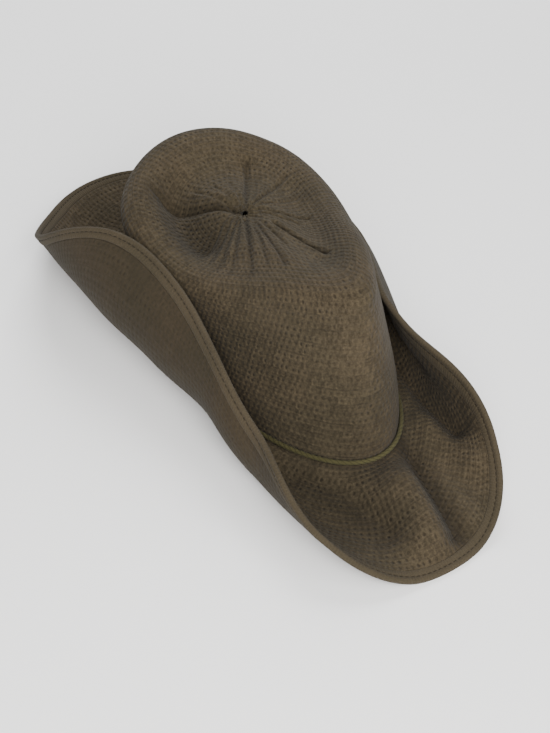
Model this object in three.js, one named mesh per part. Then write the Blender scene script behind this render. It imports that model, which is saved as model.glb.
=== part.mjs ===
// A soft knitted fedora: a crown with a gathered top, a wide brim rolled up at both sides,
// a rolled cord round the foot of the crown and a doubled hem round the edge of the brim.
//
// Millimetres and degrees, +Z up. The wearer faces -Y. Stations round the hat are angles of
// its oval: 0 at the front, 90 at +X, 180 at the back, 270 at -X. The hat rests on z = 0.
import * as THREE from "three";

// ---- Cloth and seams -----------------------------------------------------------------
const CLOTH = 2.5; // thickness of the knitted cloth
const GAP = 0.35; // gap that neighbouring pieces keep
const SEAM_HEIGHT = 8; // middle of the brim's cloth where it meets the crown

// ---- Crown ---------------------------------------------------------------------------
const FOOT = { halfWidth: 56, halfLength: 119, taper: -0.05, aside: 0, back: 0 };
const RIM = { halfWidth: 59, halfLength: 104, taper: 0.48, aside: -4, back: 7 };
const RIM_ROUND = 13; // radius of the soft edge between wall and top
const WALL_CURVE = 1.35; // above 1 the wall stays upright low down and flares near the rim
const FOOT_STAND = 5; // the wall stands straight up behind the cord
const SAG_SHIFT = 1.15; // above 1 the top sags deepest nearer the rim than the eye
const DENT_START = 0.4; // share of the way to the eye over which dents reach full depth

// The gathered hole in the top, and how far the knit sinks at the gather.
const EYE = { aside: -4, back: 28, height: 95, radius: 2.6, dimple: 3, dimpleStart: 0.8 };

// Height of the rim above the resting plane, and how deep the top sags below a smooth
// sweep from the rim to the eye, for eight directions round the crown.
const CROWN_RIM = [
  { at: 0, height: 118, sag: 7 },
  { at: 45, height: 117, sag: 6 },
  { at: 90, height: 100, sag: 4 },
  { at: 135, height: 101, sag: 5 },
  { at: 180, height: 105, sag: 7 },
  { at: 225, height: 94, sag: 4 },
  { at: 270, height: 82, sag: 1 },
  { at: 315, height: 106, sag: 2 },
];

// Dents and creases in the top, each along a line on the plan. A dent has a negative height.
const CROWN_DENTS = [
  { fromX: -42, fromY: 70, toX: -8, toY: 34, height: -4, width: 4.5 },
  { fromX: -37, fromY: 64, toX: -35, toY: 24, height: -10, width: 15 },
  { fromX: 44, fromY: 26, toX: 10, toY: -46, height: -6, width: 13 },
  { fromX: 21, fromY: 66, toX: 7, toY: 38, height: -3, width: 6 },
  { fromX: -26, fromY: 4, toX: -8, toY: -34, height: 4, width: 16 },
];

// ---- Brim ----------------------------------------------------------------------------
const SEAT = 0.13; // share of the width that lies level before the brim starts to rise
const SEAM_MARGIN = 3; // how far the brim reaches in under the crown wall
const FOLD_START = 0.35; // share of the width over which the folds grow to their full height
const FOLD_END = 0.25; // share of the width over which they die away again at the edge

// The hem is a doubled band: thickness at shares of its width, with a stitched groove.
const HEM_WIDTH = 8;
const HEM_GAP = 0.45; // gap between the brim's last row and the hem
const HEM_SECTION = [
  { along: 0.0, thickness: 2.5 },
  { along: 0.25, thickness: 3.8 },
  { along: 0.55, thickness: 3.3 },
  { along: 0.8, thickness: 3.8 },
  { along: 1.0, thickness: 2.0 },
];

// Slope of the cloth where it leaves the crown and at the edge, where past 90 it curls
// inward, its width along the cloth from the crown to the edge, and the share of that width
// over which it bends from one slope to the other.
const BRIM_ROLL = [
  { at: 0, leave: 1, edge: -14, width: 86, bend: 1 },
  { at: 22.5, leave: -18, edge: 52, width: 67, bend: 0.9 },
  { at: 45, leave: 9, edge: 108, width: 60, bend: 0.75 },
  { at: 67.5, leave: 27, edge: 126, width: 64, bend: 0.75 },
  { at: 90, leave: 28, edge: 127, width: 80, bend: 0.9 },
  { at: 112.5, leave: 19, edge: 126, width: 84, bend: 1 },
  { at: 135, leave: -6, edge: 90, width: 87, bend: 1 },
  { at: 157.5, leave: -15, edge: 19, width: 83, bend: 1 },
  { at: 180, leave: -9, edge: 11, width: 83, bend: 1 },
  { at: 202.5, leave: -16, edge: 36, width: 77, bend: 1 },
  { at: 225, leave: 1, edge: 63, width: 86, bend: 1 },
  { at: 247.5, leave: 18, edge: 124, width: 108, bend: 1 },
  { at: 270, leave: 33, edge: 134, width: 93, bend: 1 },
  { at: 292.5, leave: 32, edge: 120, width: 74, bend: 1 },
  { at: 315, leave: -17, edge: 117, width: 69, bend: 1 },
  { at: 337.5, leave: -25, edge: 50, width: 87, bend: 1 },
];

// Soft folds in the brim, each along a line on the plan. A ridge rises by its height and a
// valley has a negative one: across the front to the lip, then where it rests at the back.
const BRIM_FOLDS = [
  { fromX: 59, fromY: -52, toX: 56, toY: -128, height: -8, width: 7 },
  { fromX: 42, fromY: -108, toX: 46, toY: -152, height: 6, width: 10 },
  { fromX: 23, fromY: -108, toX: 9, toY: -188, height: -13, width: 8.5 },
  { fromX: 6, fromY: -118, toX: 0, toY: -180, height: 13, width: 22 },
  { fromX: -42, fromY: -108, toX: -24, toY: -166, height: -8, width: 11 },
  { fromX: -38, fromY: 118, toX: -36, toY: 150, height: -5, width: 22 },
  { fromX: 41, fromY: 125, toX: 38, toY: 156, height: -4, width: 22 },
];

// ---- Cord ----------------------------------------------------------------------------
const CORD_RADIUS = 1.5;
const CORD_LIFT = 0.8; // lets the cord clear the brim where that starts to rise

// ---- Fineness of the mesh ------------------------------------------------------------
const STATIONS = 68;
const STATION_CROWDING = 0.35; // share by which the spacing shrinks at front and back
const WALL_STEPS = 6;
const ROUND_STEPS = 3;
const TOP_STEPS = 8;
const BRIM_STEPS = 9;
const CORD_SIDES = 8;
const FINE_STEP = 1.3; // along the brim's curve when its slope is added up

const KNIT_COLOUR = 0x655c48;
const CORD_COLOUR = 0x6b6848;

const radians = THREE.MathUtils.degToRad;
const lerp = THREE.MathUtils.lerp;
const ramp = (x) => THREE.MathUtils.smoothstep(x, 0, 1);

/** Value of one column of a table whose rows are spread evenly round the hat. */
function around(rows, column, at) {
  const count = rows.length;
  const place = (((at % 360) + 360) % 360) / (360 / count);
  const row = Math.floor(place);
  const f = place - row;
  const [a, b, c, d] = [-1, 0, 1, 2].map((k) => rows[(row + k + count) % count][column]);
  return b + 0.5 * f * (c - a + f * (2 * a - 5 * b + 4 * c - d + f * (3 * (b - c) + d - a)));
}

/** Point of an oval on the plan, moved outward from it by a distance. */
function onOval(oval, at, outward = 0) {
  const t = radians(at);
  const x = oval.halfWidth * Math.sin(t) * (1 - oval.taper * Math.cos(t));
  const y = -oval.halfLength * Math.cos(t);
  const alongX = oval.halfWidth * (Math.cos(t) - oval.taper * Math.cos(2 * t));
  const alongY = oval.halfLength * Math.sin(t);
  const normal = new THREE.Vector2(alongY, -alongX).normalize();
  return new THREE.Vector2(oval.aside + x, oval.back + y).addScaledVector(normal, outward);
}

/** Outward direction of the foot oval on the plan. */
function outwardAt(at) {
  return onOval(FOOT, at, 1).sub(onOval(FOOT, at));
}

const crownFootHeight = SEAM_HEIGHT + CLOTH / 2 + GAP;

/** How far a table of folds or dents lifts the cloth at a point of the plan. */
function foldLift(folds, x, y) {
  const point = new THREE.Vector3(x, y, 0);
  const line = new THREE.Line3();
  const nearest = new THREE.Vector3();
  let lift = 0;
  for (const fold of folds) {
    line.start.set(fold.fromX, fold.fromY, 0);
    line.end.set(fold.toX, fold.toY, 0);
    line.closestPointToPoint(point, true, nearest);
    lift += fold.height * Math.exp(-((nearest.distanceTo(point) / fold.width) ** 2));
  }
  return lift;
}

/** Outer face of the crown at one station, listed from the foot to the eye. */
function crownProfile(at) {
  const foot = onOval(FOOT, at);
  const rim = onOval(RIM, at);
  const eye = new THREE.Vector2(EYE.aside, EYE.back);
  const height = around(CROWN_RIM, "height", at);
  const sag = around(CROWN_RIM, "sag", at);
  const shoulder = height - RIM_ROUND;
  const points = [new THREE.Vector3(foot.x, foot.y, crownFootHeight)];
  for (let i = 0; i < WALL_STEPS; i++) {
    const up = i / WALL_STEPS;
    const plan = foot.clone().lerp(rim, up ** WALL_CURVE);
    const z = lerp(crownFootHeight + FOOT_STAND, shoulder, up);
    points.push(new THREE.Vector3(plan.x, plan.y, z));
  }
  const reach = rim.distanceTo(eye);
  for (let i = 0; i < ROUND_STEPS; i++) {
    const turn = radians((90 * i) / ROUND_STEPS);
    const plan = rim.clone().lerp(eye, (RIM_ROUND * (1 - Math.cos(turn))) / reach);
    points.push(new THREE.Vector3(plan.x, plan.y, shoulder + RIM_ROUND * Math.sin(turn)));
  }
  const start = RIM_ROUND / reach;
  const end = 1 - EYE.radius / reach;
  for (let i = 0; i <= TOP_STEPS; i++) {
    const q = i / TOP_STEPS;
    const plan = rim.clone().lerp(eye, lerp(start, end, q));
    const sweep = lerp(height, EYE.height, ramp(q));
    const sunk = sag * Math.sin(Math.PI * ramp(q * SAG_SHIFT));
    const dented = foldLift(CROWN_DENTS, plan.x, plan.y) * ramp(q / DENT_START);
    const dimple = EYE.dimple * ramp((q - EYE.dimpleStart) / (1 - EYE.dimpleStart));
    points.push(new THREE.Vector3(plan.x, plan.y, sweep - sunk + dented - dimple));
  }
  return points;
}

/** Width of the brim's cloth at one station, from the crown to the edge. */
function brimWidth(at) {
  return around(BRIM_ROLL, "width", at);
}

/** Middle of the brim's cloth at one station, at distances along it from the crown. */
function brimLine(at, distances) {
  const leave = radians(around(BRIM_ROLL, "leave", at));
  const edge = radians(around(BRIM_ROLL, "edge", at));
  const bend = around(BRIM_ROLL, "bend", at);
  const out = outwardAt(at);
  const foot = onOval(FOOT, at);
  const width = brimWidth(at);
  const slope = (share) => leave * ramp(share / SEAT) + (edge - leave) * ramp(share / bend);
  const grown = (share) => ramp(share / FOLD_START) * ramp((1 - share) / FOLD_END);
  const points = [];
  let reach = 0;
  let rise = 0;
  let done = 0;
  for (const distance of distances) {
    const steps = Math.max(1, Math.round(Math.abs(distance - done) / FINE_STEP));
    const step = (distance - done) / steps;
    for (let i = 0; i < steps; i++) {
      const angle = slope((done + step * (i + 0.5)) / width);
      reach += Math.cos(angle) * step;
      rise += Math.sin(angle) * step;
    }
    done = distance;
    const x = foot.x + out.x * reach;
    const y = foot.y + out.y * reach;
    const folded = foldLift(BRIM_FOLDS, x, y) * grown(distance / width);
    points.push(new THREE.Vector3(x, y, SEAM_HEIGHT + rise + folded));
  }
  return points;
}

/** Closed mesh through loops of points, one loop for each station round the hat. */
function ringGeometry(loops) {
  const size = loops[0].length;
  const points = loops.flat();
  const positions = points.flatMap((p) => p.toArray());
  const indices = [];
  const apart = (one, other) => points[one].distanceTo(points[other]);
  for (let i = 0; i < loops.length; i++) {
    const next = (i + 1) % loops.length;
    for (let j = 0; j < size; j++) {
      const k = (j + 1) % size;
      const [a, b, c, d] = [i * size + j, next * size + j, next * size + k, i * size + k];
      // Each four-sided patch is split along its shorter diagonal.
      if (apart(a, c) < apart(b, d)) {
        indices.push(a, b, c, a, c, d);
      } else {
        indices.push(a, b, d, b, c, d);
      }
    }
  }
  const geometry = new THREE.BufferGeometry();
  geometry.setAttribute("position", new THREE.Float32BufferAttribute(positions, 3));
  geometry.setIndex(indices);
  geometry.computeVertexNormals();
  return geometry;
}

/** Unit normals of a grid of points that closes on itself round the hat. */
function gridNormals(grid) {
  const count = grid.length;
  return grid.map((line, i) =>
    line.map((_, j) => {
      const round = grid[(i + 1) % count][j].clone().sub(grid[(i - 1 + count) % count][j]);
      const along = line[Math.min(j + 1, line.length - 1)].clone().sub(line[Math.max(j - 1, 0)]);
      return round.cross(along).normalize();
    }),
  );
}

// Stations stand closer together at the front and the back, where the brim fans out.
const stations = Array.from({ length: STATIONS }, (_, i) => {
  const even = (i * 360) / STATIONS;
  return even - (THREE.MathUtils.radToDeg(STATION_CROWDING) / 2) * Math.sin(radians(2 * even));
});

/** Crown wall and top: the outer face, and an inner face one thickness inside it. */
function crownGeometry() {
  const outer = stations.map(crownProfile);
  const normals = gridNormals(outer);
  const loops = outer.map((line, i) => {
    const inner = line.map((p, j) => p.clone().addScaledVector(normals[i][j], -CLOTH));
    inner[0].z = crownFootHeight;
    return [...line, ...inner.reverse()];
  });
  return ringGeometry(loops);
}

/** Distances along the brim's cloth at one station: the brim's own, then the hem's. */
function clothDistances(at) {
  const hemStart = brimWidth(at) - HEM_WIDTH;
  const distances = [-SEAM_MARGIN];
  for (let i = 0; i <= BRIM_STEPS; i++) {
    distances.push(((hemStart - HEM_GAP) * i) / BRIM_STEPS);
  }
  HEM_SECTION.forEach((row) => distances.push(hemStart + HEM_WIDTH * row.along));
  return distances;
}

const brimThickness = Array.from({ length: BRIM_STEPS + 2 }, () => CLOTH);
const clothThickness = [...brimThickness, ...HEM_SECTION.map((row) => row.thickness)];

// Middle of the whole cloth, pressed flat where it lies on the resting plane.
const clothGrid = stations.map((at) =>
  brimLine(at, clothDistances(at)).map((p) => p.setZ(Math.max(p.z, CLOTH / 2))),
);
const clothNormals = gridNormals(clothGrid);

// The brim and the hem face each other squarely across the gap between them.
const hemColumn = brimThickness.length;
clothNormals.forEach((line) => line[hemColumn].copy(line[hemColumn - 1]));

// The cloth's normals point out of its underside.
const UNDER = 1;
const UPPER = -1;

/** One face of the cloth at one station; the underside is flat where the cloth rests. */
function clothFace(i, side) {
  return clothGrid[i].map((p, j) => {
    const point = p.clone();
    point.addScaledVector(clothNormals[i][j], (side * clothThickness[j]) / 2);
    const resting = side === UNDER && p.z <= CLOTH / 2;
    return point.setZ(resting ? 0 : Math.max(point.z, 0));
  });
}

/** Closed mesh about a run of the cloth's columns, given as its first one and the next past it. */
function clothGeometry(first, end) {
  const loops = stations.map((_, i) => [
    ...clothFace(i, UNDER).slice(first, end),
    ...clothFace(i, UPPER).slice(first, end).reverse(),
  ]);
  return ringGeometry(loops);
}

/** Rolled cord lying on the brim against the foot of the crown. */
function cordGeometry() {
  const height = SEAM_HEIGHT + CLOTH / 2 + GAP + CORD_RADIUS + CORD_LIFT;
  const loops = stations.map((at) => {
    const loop = [];
    for (let i = 0; i < CORD_SIDES; i++) {
      const turn = (2 * Math.PI * i) / CORD_SIDES;
      const plan = onOval(FOOT, at, GAP + CORD_RADIUS * (1 + Math.cos(turn)));
      loop.push(new THREE.Vector3(plan.x, plan.y, height + CORD_RADIUS * Math.sin(turn)));
    }
    return loop;
  });
  return ringGeometry(loops);
}

/** One named piece of the hat. */
function piece(name, geometry, color) {
  const material = new THREE.MeshStandardMaterial({ color, roughness: 0.95, metalness: 0 });
  const mesh = new THREE.Mesh(geometry, material);
  mesh.name = name;
  return mesh;
}

const hat = new THREE.Group();
hat.add(
  piece("crown", crownGeometry(), KNIT_COLOUR),
  piece("brim", clothGeometry(0, hemColumn), KNIT_COLOUR),
  piece("brim_hem", clothGeometry(hemColumn, clothThickness.length), KNIT_COLOUR),
  piece("crown_cord", cordGeometry(), CORD_COLOUR),
);

// The origin is under the middle of the hat's own box, on the surface that it rests on.
const middle = new THREE.Box3().setFromObject(hat).getCenter(new THREE.Vector3());
hat.position.set(-middle.x, -middle.y, 0);

export default hat;
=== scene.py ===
"""A soft knitted hat of western shape, resting on a pale floor.

The crown, the brim, its stitched hem and the cord round the crown are each made here as
finely modelled cloth, in the frame and inside the sizes of the hat's own solid parts.
"""
import logging
import math
from dataclasses import dataclass
from enum import Enum

import bpy
import numpy as np
from mathutils import Matrix, Vector


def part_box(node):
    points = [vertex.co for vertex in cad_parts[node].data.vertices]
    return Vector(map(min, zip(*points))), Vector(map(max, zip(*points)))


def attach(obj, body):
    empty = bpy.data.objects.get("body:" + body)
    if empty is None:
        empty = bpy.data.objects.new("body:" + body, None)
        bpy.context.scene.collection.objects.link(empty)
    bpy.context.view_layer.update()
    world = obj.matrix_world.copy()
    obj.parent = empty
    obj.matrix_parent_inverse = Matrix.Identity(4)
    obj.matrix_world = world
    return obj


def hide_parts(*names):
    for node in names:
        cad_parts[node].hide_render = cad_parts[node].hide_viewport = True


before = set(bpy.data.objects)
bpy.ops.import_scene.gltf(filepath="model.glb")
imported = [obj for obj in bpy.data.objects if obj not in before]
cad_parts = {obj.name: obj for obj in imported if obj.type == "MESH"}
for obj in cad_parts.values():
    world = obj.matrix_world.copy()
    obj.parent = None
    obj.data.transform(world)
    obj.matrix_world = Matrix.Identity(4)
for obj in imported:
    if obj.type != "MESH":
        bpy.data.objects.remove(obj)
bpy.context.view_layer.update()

LOG = logging.getLogger("hat")
MM = 0.001
GAP = 0.35
CLOTH = 2.5
SEAM_HEIGHT = 8.0
STATION_CROWDING = 0.35
REVERSE_ROW = 100.0
HEM_REVERSE_ROW = 10.0
BODY = "root"
KNIT_UV = "knit"
# Vertex mark of painted shade in the valleys of pleats, creases and folds.
PAINTED_FOLD_SHADE = "painted_fold_shade"
STRETCHED = "stretched"


# ---- Shapes shared by the pieces, in millimetres -----------------------------------------


def ease(x: np.ndarray) -> np.ndarray:
    """Smooth step from 0 to 1 over the same range."""
    held = np.clip(x, 0.0, 1.0)
    return held * held * (3.0 - 2.0 * held)


def around(values: list[float], at: np.ndarray) -> np.ndarray:
    """Smooth value round the hat, from values spread evenly round it.

    Args:
        values: One value for each of several even steps round the hat, from the front.
        at: Places round the hat in degrees.

    Returns:
        The value at each place.
    """
    table = np.asarray(values, float)
    count = len(table)
    place = np.mod(at, 360.0) / (360.0 / count)
    row = np.floor(place).astype(int)
    f = place - row
    a, b, c, d = (table[(row + k) % count] for k in (-1, 0, 1, 2))
    return b + 0.5 * f * (c - a + f * (2 * a - 5 * b + 4 * c - d + f * (3 * (b - c) + d - a)))


@dataclass(frozen=True)
class Oval:
    """An egg-shaped outline on the plan, with its narrow end at the front or the back."""

    half_width: float
    half_length: float
    taper: float
    aside: float
    back: float

    def points(self, at: np.ndarray, outward: np.ndarray | float = 0.0) -> np.ndarray:
        """Points of the outline.

        Args:
            at: Places round the hat in degrees.
            outward: How far to stand off the outline.

        Returns:
            One x and y for each place.
        """
        t = np.radians(at)
        x = self.aside + self.half_width * np.sin(t) * (1 - self.taper * np.cos(t))
        y = self.back - self.half_length * np.cos(t)
        return np.stack([x, y], -1) + self.outward(at) * np.asarray(outward)[..., None]

    def outward(self, at: np.ndarray) -> np.ndarray:
        """Outward direction on the plan.

        Args:
            at: Places round the hat in degrees.

        Returns:
            One unit direction for each place.
        """
        t = np.radians(at)
        along_x = self.half_width * (np.cos(t) - self.taper * np.cos(2 * t))
        along_y = self.half_length * np.sin(t)
        normal = np.stack([along_y, -along_x], -1)
        return normal / np.linalg.norm(normal, axis=-1, keepdims=True)


@dataclass(frozen=True)
class Fold:
    """A soft fold along a line on the plan: a ridge, or a valley if its height is negative."""

    from_x: float
    from_y: float
    to_x: float
    to_y: float
    height: float
    width: float

    def lift(self, x: np.ndarray, y: np.ndarray) -> np.ndarray:
        """How far the fold lifts the cloth.

        Args:
            x: First plan coordinate of the points.
            y: Second plan coordinate of the points.

        Returns:
            The lift at each point, in millimetres.
        """
        along = np.array([self.to_x - self.from_x, self.to_y - self.from_y])
        reach = float(along @ along)
        share = ((x - self.from_x) * along[0] + (y - self.from_y) * along[1]) / reach
        share = np.clip(share, 0.0, 1.0)
        away = np.hypot(x - self.from_x - share * along[0], y - self.from_y - share * along[1])
        return self.height * np.exp(-((away / self.width) ** 2))


@dataclass(frozen=True)
class Patch:
    """A round patch of the plan where the knit is stretched open."""

    x: float
    y: float
    width: float
    share: float

    def share_at(self, x: np.ndarray, y: np.ndarray) -> np.ndarray:
        """How far the knit is stretched at points of the plan, from 0 to 1."""
        away = np.hypot(x - self.x, y - self.y)
        return self.share * np.exp(-((away / self.width) ** 2))


def folds_lift(folds: list[Fold], x: np.ndarray, y: np.ndarray) -> np.ndarray:
    """Sum of several folds.

    Args:
        folds: The folds.
        x: First plan coordinate of the points.
        y: Second plan coordinate of the points.

    Returns:
        The lift at each point, in millimetres.
    """
    total = np.zeros(np.broadcast(x, y).shape)
    for fold in folds:
        total = total + fold.lift(x, y)
    return total


def gentle_waves(x: np.ndarray, y: np.ndarray, z: np.ndarray, length: float, seed: int) -> np.ndarray:
    """Uneven soft waves through space, as cloth that has been worn has.

    Args:
        x: First coordinate of the points.
        y: Second coordinate of the points.
        z: Third coordinate of the points.
        length: Length of the waves.
        seed: Picks one set of waves.

    Returns:
        A value from about -1 to 1 at each point.
    """
    rng = np.random.default_rng(seed)
    total = np.zeros(np.broadcast(x, y, z).shape)
    waves = 9
    for _ in range(waves):
        turn = rng.normal(size=3)
        turn /= np.linalg.norm(turn)
        pace = 2 * math.pi / (length * rng.uniform(0.7, 1.5))
        total = total + np.sin(pace * (turn[0] * x + turn[1] * y + turn[2] * z) + rng.uniform(0, 6.28))
    return total / math.sqrt(waves)


def stations(count: int) -> np.ndarray:
    """Places round the hat in degrees, closer together at the front and the back."""
    even = np.arange(count) * 360.0 / count
    return even - math.degrees(STATION_CROWDING) / 2 * np.sin(np.radians(2 * even))


def grid_normals(grid: np.ndarray) -> np.ndarray:
    """Unit normals of a grid of points that closes on itself round the hat.

    Args:
        grid: Points, first round the hat and then along the cloth.

    Returns:
        One normal for each point.
    """
    round_hat = np.roll(grid, -1, 0) - np.roll(grid, 1, 0)
    along = np.gradient(grid, axis=1)
    normal = np.cross(round_hat, along)
    return normal / np.maximum(np.linalg.norm(normal, axis=-1, keepdims=True), 1e-9)


def even_rows(lines: np.ndarray, marks: np.ndarray) -> np.ndarray:
    """Moves points along each line so that they stand at given shares of its length.

    Args:
        lines: Points, first round the hat and then along the cloth.
        marks: Shares of the length, from 0 to 1.

    Returns:
        Points in the same order, one for each mark on each line.
    """
    steps = np.linalg.norm(np.diff(lines, axis=1), axis=-1)
    reach = np.concatenate([np.zeros((len(lines), 1)), np.cumsum(steps, 1)], 1)
    out = np.empty((len(lines), len(marks), 3))
    for i, line in enumerate(lines):
        where = marks * reach[i, -1]
        for k in range(3):
            out[i, :, k] = np.interp(where, reach[i], line[:, k])
    return out


# ---- The hat's own sizes -----------------------------------------------------------------

FOOT = Oval(half_width=56, half_length=119, taper=-0.05, aside=0, back=0)
RIM = Oval(half_width=59, half_length=104, taper=0.48, aside=-4, back=7)


@dataclass(frozen=True)
class Eye:
    """The gathered hole in the top of the crown."""

    aside: float = -4.0
    back: float = 28.0
    height: float = 95.0
    radius: float = 2.6
    dimple: float = 3.0
    dimple_start: float = 0.8


@dataclass(frozen=True)
class CrownSide:
    """Height of the crown's rim, and the sag of the top, in one direction."""

    at: float
    height: float
    sag: float


@dataclass(frozen=True)
class BrimSide:
    """Slope of the brim at the crown and at its edge, and its width, in one direction.

    The brim has turned to its edge's slope by the share of its width given as the bend.
    """

    at: float
    leave: float
    edge: float
    width: float
    bend: float = 1.0


@dataclass(frozen=True)
class Pleat:
    """A pleat drawn in by the gather: its ends, as a turn and a reach from the eye."""

    near_turn: float
    near_reach: float
    far_turn: float
    far_reach: float
    depth: float
    width: float

    def as_fold(self, eye: Eye) -> Fold:
        """The pleat as a fold on the plan.

        Args:
            eye: The hole that the pleat runs from.

        Returns:
            A valley as deep as the pleat.
        """
        ends = []
        for turn, reach in ((self.near_turn, self.near_reach), (self.far_turn, self.far_reach)):
            angle = math.radians(turn)
            ends.append((eye.aside + reach * math.sin(angle), eye.back - reach * math.cos(angle)))
        return Fold(*ends[0], *ends[1], -self.depth, self.width)


EYE = Eye()

CROWN_SIDES = [
    CrownSide(at=0, height=118, sag=7),
    CrownSide(at=45, height=117, sag=6),
    CrownSide(at=90, height=100, sag=4),
    CrownSide(at=135, height=101, sag=5),
    CrownSide(at=180, height=105, sag=7),
    CrownSide(at=225, height=94, sag=4),
    CrownSide(at=270, height=82, sag=1),
    CrownSide(at=315, height=106, sag=2),
]

CROWN_DENTS = [
    Fold(-42, 70, -8, 34, height=-4, width=4.5),
    Fold(-37, 64, -35, 24, height=-10, width=15),
    Fold(44, 26, 10, -46, height=-6, width=13),
    Fold(21, 66, 7, 38, height=-3, width=6),
    Fold(-26, 4, -8, -34, height=4, width=16),
]

PLEATS = [
    Pleat(236, 5, 220, 60, depth=2.8, width=1.8),
    Pleat(268, 12, 289, 42, depth=1.4, width=1.5),
    Pleat(287, 12, 303, 48, depth=2.0, width=1.4),
    Pleat(303, 10, 312, 54, depth=2.6, width=1.5),
    Pleat(316, 14, 321, 60, depth=2.4, width=1.4),
    Pleat(331, 10, 332, 66, depth=3.0, width=1.6),
    Pleat(344, 16, 340, 62, depth=1.8, width=1.3),
    Pleat(355, 14, 347, 70, depth=2.2, width=1.5),
    Pleat(4, 18, 358, 48, depth=1.8, width=1.3),
    Pleat(16, 24, 9, 72, depth=3.0, width=1.6),
    Pleat(40, 8, 36, 36, depth=1.4, width=1.4),
    Pleat(62, 8, 48, 40, depth=2.0, width=1.6),
    Pleat(90, 8, 84, 36, depth=1.4, width=1.5),
    Pleat(112, 8, 112, 44, depth=2.2, width=1.6),
    Pleat(138, 6, 146, 50, depth=2.4, width=1.7),
    Pleat(160, 8, 166, 30, depth=1.2, width=1.4),
    Pleat(184, 8, 186, 32, depth=1.4, width=1.4),
    Pleat(204, 8, 202, 40, depth=1.4, width=1.5),
]

# The knit really opens in these patches; its opened eyelets and courses get painted shade, which darkens the
# sunken dents.
STRETCHED_PATCHES = [
    Patch(-39, 44, width=17, share=1.0),
    Patch(-34, 20, width=14, share=0.9),
    Patch(-14, 60, width=14, share=0.6),
    Patch(34, 30, width=13, share=0.7),
    Patch(20, -14, width=14, share=0.4),
    Patch(10, -62, width=13, share=0.5),
]

BRIM_SIDES = [
    BrimSide(at=0, leave=1, edge=-14, width=86),
    BrimSide(at=22.5, leave=-18, edge=52, width=67, bend=0.9),
    BrimSide(at=45, leave=9, edge=108, width=60, bend=0.75),
    BrimSide(at=67.5, leave=27, edge=126, width=64, bend=0.75),
    BrimSide(at=90, leave=28, edge=127, width=80, bend=0.9),
    BrimSide(at=112.5, leave=19, edge=126, width=84),
    BrimSide(at=135, leave=-6, edge=90, width=87),
    BrimSide(at=157.5, leave=-15, edge=19, width=83),
    BrimSide(at=180, leave=-9, edge=11, width=83),
    BrimSide(at=202.5, leave=-16, edge=36, width=77),
    BrimSide(at=225, leave=1, edge=63, width=86),
    BrimSide(at=247.5, leave=18, edge=124, width=108),
    BrimSide(at=270, leave=33, edge=134, width=93),
    BrimSide(at=292.5, leave=32, edge=120, width=74),
    BrimSide(at=315, leave=-17, edge=117, width=69),
    BrimSide(at=337.5, leave=-25, edge=50, width=87),
]

BRIM_FOLDS = [
    Fold(59, -52, 56, -128, height=-8, width=7),
    Fold(42, -108, 46, -152, height=6, width=10),
    Fold(23, -108, 9, -188, height=-13, width=8.5),
    Fold(6, -118, 0, -180, height=13, width=22),
    Fold(-42, -108, -24, -166, height=-8, width=11),
    Fold(-38, 118, -36, 150, height=-5, width=22),
    Fold(41, 125, 38, 156, height=-4, width=22),
]


@dataclass(frozen=True)
class BrimRoll:
    """How the brim's cloth runs from the crown to its edge."""

    seat: float = 0.13
    seam_margin: float = 3.0
    fold_start: float = 0.35
    fold_end: float = 0.25
    hem_width: float = 8.0
    floor_touch: float = 0.9

    def width(self, at: np.ndarray) -> np.ndarray:
        """Width of the cloth at places round the hat."""
        return around([side.width for side in BRIM_SIDES], at)

    def middle(self, at: np.ndarray, distances: np.ndarray) -> np.ndarray:
        """Middle of the cloth, pressed flat where it lies on the floor.

        Args:
            at: Places round the hat in degrees.
            distances: Distances along the cloth from the crown, a row for each place.

        Returns:
            Points, first round the hat and then along the cloth.
        """
        leave = np.radians(around([side.leave for side in BRIM_SIDES], at))[:, None]
        edge = np.radians(around([side.edge for side in BRIM_SIDES], at))[:, None]
        bend = around([side.bend for side in BRIM_SIDES], at)[:, None]
        width = self.width(at)[:, None]
        low = -self.seam_margin
        fine = np.linspace(low, float(distances.max()), 240)[None, :]
        step = fine[0, 1] - fine[0, 0]
        share = (fine + step / 2) / width
        slope = leave * ease(share / self.seat) + (edge - leave) * ease(share / bend)
        reach = np.cumsum(np.cos(slope), 1) * step
        rise = np.cumsum(np.sin(slope), 1) * step
        reach = np.concatenate([np.full((len(at), 1), low), reach[:, :-1] + low], 1)
        rise = np.concatenate([np.zeros((len(at), 1)), rise[:, :-1]], 1)
        foot = FOOT.points(at)
        out = FOOT.outward(at)
        points = np.empty(distances.shape + (3,))
        for i in range(len(at)):
            far = np.interp(distances[i], fine[0], reach[i])
            points[i, :, 0] = foot[i, 0] + out[i, 0] * far
            points[i, :, 1] = foot[i, 1] + out[i, 1] * far
            points[i, :, 2] = SEAM_HEIGHT + np.interp(distances[i], fine[0], rise[i])
        x, y = points[..., 0], points[..., 1]
        share = distances / width
        grown = ease(share / self.fold_start) * ease((1 - share) / self.fold_end)
        points[..., 2] += folds_lift(BRIM_FOLDS, x, y) * grown
        points[..., 2] = self.pressed(points[..., 2])
        return points

    def pressed(self, z: np.ndarray) -> np.ndarray:
        """Height of the cloth's middle once the floor has held it up, with a soft touch.

        Args:
            z: Heights before the floor is felt.

        Returns:
            Heights that never sink below half the cloth's thickness.
        """
        soft = self.floor_touch
        above = z - CLOTH / 2
        held_up = soft * np.log1p(np.exp(np.clip(above / soft, -40, 40)))
        return CLOTH / 2 + np.where(above > 4 * soft, above, held_up)


ROLL = BrimRoll()


# ---- Meshes ------------------------------------------------------------------------------


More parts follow.
